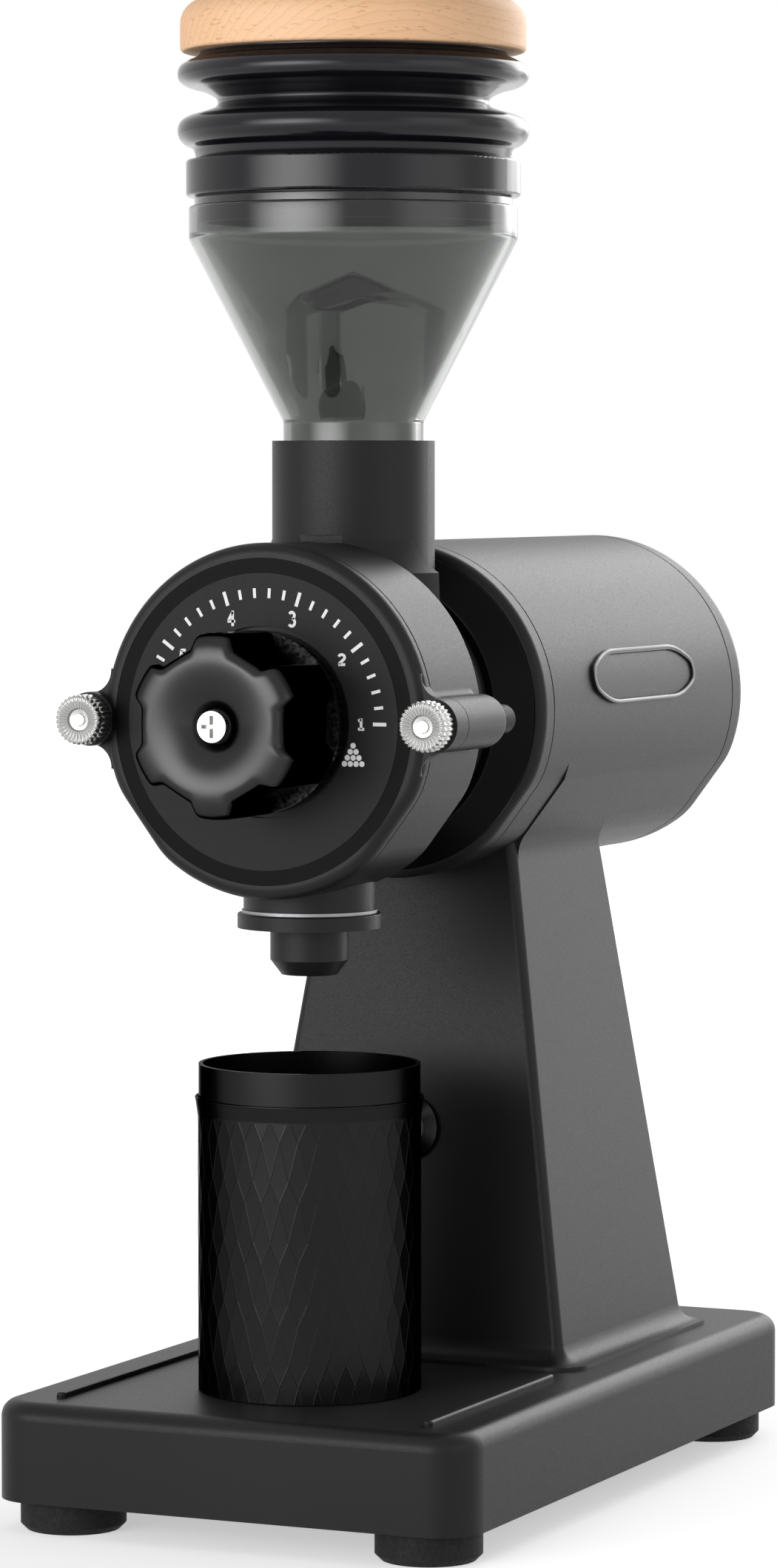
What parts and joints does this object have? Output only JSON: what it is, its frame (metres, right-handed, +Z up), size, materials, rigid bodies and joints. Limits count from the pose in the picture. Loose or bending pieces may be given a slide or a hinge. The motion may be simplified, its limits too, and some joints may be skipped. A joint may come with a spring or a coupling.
{
  "type": "single-dose coffee grinder",
  "caption": "Electric flat-burr coffee grinder with a smoky bellows hopper, wooden lid, stepless dial knob, tapered stand and dosing cup on a flat base.",
  "frame": {"origin": "middle of the overall plan, on the surface the feet stand on", "axes": "+X to the right as seen from the front, -Y the front (dial side), +Z up"},
  "size_m": [0.135, 0.2612, 0.3976],
  "materials": {
    "body_paint": "fine matte black powder coat",
    "dark_paint": "satin black paint",
    "dial_face": "matte black with white marks",
    "rubber": "matte black rubber",
    "bellows_rubber": "glossy black silicone rubber",
    "steel": "bright machined steel",
    "dark_steel": "varnished steel laminations",
    "nickel": "polished nickel plate",
    "aluminium": "satin machined aluminium",
    "copper": "enamelled copper wire",
    "brass": "plain turned brass",
    "black_plastic": "matte black plastic",
    "gloss_black": "glossy black plastic",
    "smoky_clear": "smoky clear plastic",
    "board": "circuit board, green lacquer",
    "cup_black": "black anodised",
    "wood": "pale beech, oiled"
  },
  "bodies": {
    "frame": {"base_plate": "body_paint", "base_cover": "dark_paint", "rubber_feet": "rubber", "feet_screws": "steel", "cord_gland": "black_plastic", "stand_housing": "body_paint", "stand_bolts": "steel", "control_board": "board", "capacitor": "black_plastic", "button_bezel": "gloss_black", "button_nut": "steel", "switch_block": "black_plastic", "motor_front_plate": "body_paint", "front_bearing": "steel", "motor_rear_cap": "body_paint", "rear_bearing": "steel", "rear_cap_screws": "steel", "badge_plate": "body_paint", "stator_core": "dark_steel", "stator_windings": "copper", "motor_adapter": "dark_paint", "boss_studs": "dark_paint", "shaft_seal": "rubber", "grinding_chamber": "body_paint", "chamber_bolts": "steel", "spout_nozzle": "body_paint", "spout_ring": "nickel"},
    "rotor": {"motor_shaft": "steel", "rotor_core": "dark_steel", "cooling_fan": "black_plastic", "feed_auger": "aluminium", "burr_spider": "aluminium", "rotating_burr": "steel", "rotating_burr_screws": "steel", "shaft_nut": "steel"},
    "front_cover": {"front_cover": "body_paint", "dial_plate": "dial_face", "dial_ring": "dark_paint", "spindle_bush": "brass", "guide_pins": "steel"},
    "adjust_knob": {"adjust_knob": "gloss_black", "knob_screw": "nickel", "knob_collar": "aluminium", "adjust_spindle": "steel"},
    "burr_carrier": {"burr_carrier": "aluminium", "fixed_burr": "steel", "fixed_burr_screws": "steel"},
    "thumbscrew_left": {"thumbscrew_left": "nickel"},
    "thumbscrew_right": {"thumbscrew_right": "nickel"},
    "hopper": {"hopper": "smoky_clear", "hopper_baffle": "smoky_clear"},
    "bellows": {"bellows_collar": "gloss_black", "bellows": "bellows_rubber"},
    "lid": {"lid": "wood", "lid_insert": "black_plastic", "lid_screws": "steel"},
    "cup": {"cup_liner": "cup_black", "cup_sleeve": "black_plastic", "cup_pad": "rubber"},
    "power_button": {"power_button": "gloss_black"}
  },
  "joints": [
    {"name": "rotor_spin", "type": "hinge", "parent": "frame", "child": "rotor", "pos_m": [0, 0, 0.21], "axis": [0, 1, 0], "continuous": true},
    {"name": "cover_pull", "type": "slide", "parent": "frame", "child": "front_cover", "axis": [0, -1, 0], "range_m": [0, 0.045]},
    {"name": "knob_turn", "type": "hinge", "parent": "front_cover", "child": "adjust_knob", "pos_m": [0, -0.11, 0.21], "axis": [0, -1, 0], "range_deg": [0, 150]},
    {"name": "burr_adjust", "type": "slide", "parent": "front_cover", "child": "burr_carrier", "axis": [0, -1, 0], "range_m": [0, 0.00105]},
    {"name": "thumbscrew_left_turn", "type": "hinge", "parent": "front_cover", "child": "thumbscrew_left", "pos_m": [-0.0485, -0.1, 0.21], "axis": [0, -1, 0], "continuous": true},
    {"name": "thumbscrew_right_turn", "type": "hinge", "parent": "front_cover", "child": "thumbscrew_right", "pos_m": [0.0485, -0.1, 0.21], "axis": [0, -1, 0], "continuous": true},
    {"name": "hopper_lift", "type": "slide", "parent": "frame", "child": "hopper", "axis": [0, 0, 1], "range_m": [0, 0.06]},
    {"name": "bellows_lift", "type": "slide", "parent": "hopper", "child": "bellows", "axis": [0, 0, 1], "range_m": [0, 0.04]},
    {"name": "lid_press", "type": "slide", "parent": "bellows", "child": "lid", "axis": [0, 0, -1], "range_m": [0, 0.016], "stiffness_N_per_m": 400, "springref_m": -0.004, "deforming": ["bellows"]},
    {"name": "cup_pull", "type": "slide", "parent": "frame", "child": "cup", "axis": [0, -1, 0], "range_m": [0, 0.09]},
    {"name": "button_press", "type": "slide", "parent": "frame", "child": "power_button", "axis": [0, 0.9946, -0.1039], "range_m": [0, 0.0025], "stiffness_N_per_m": 800, "springref_m": -0.001}
  ],
  "couplings": [
    {"joint": "burr_adjust", "follows": "knob_turn", "m_per_rad": 0.00039789}
  ]
}
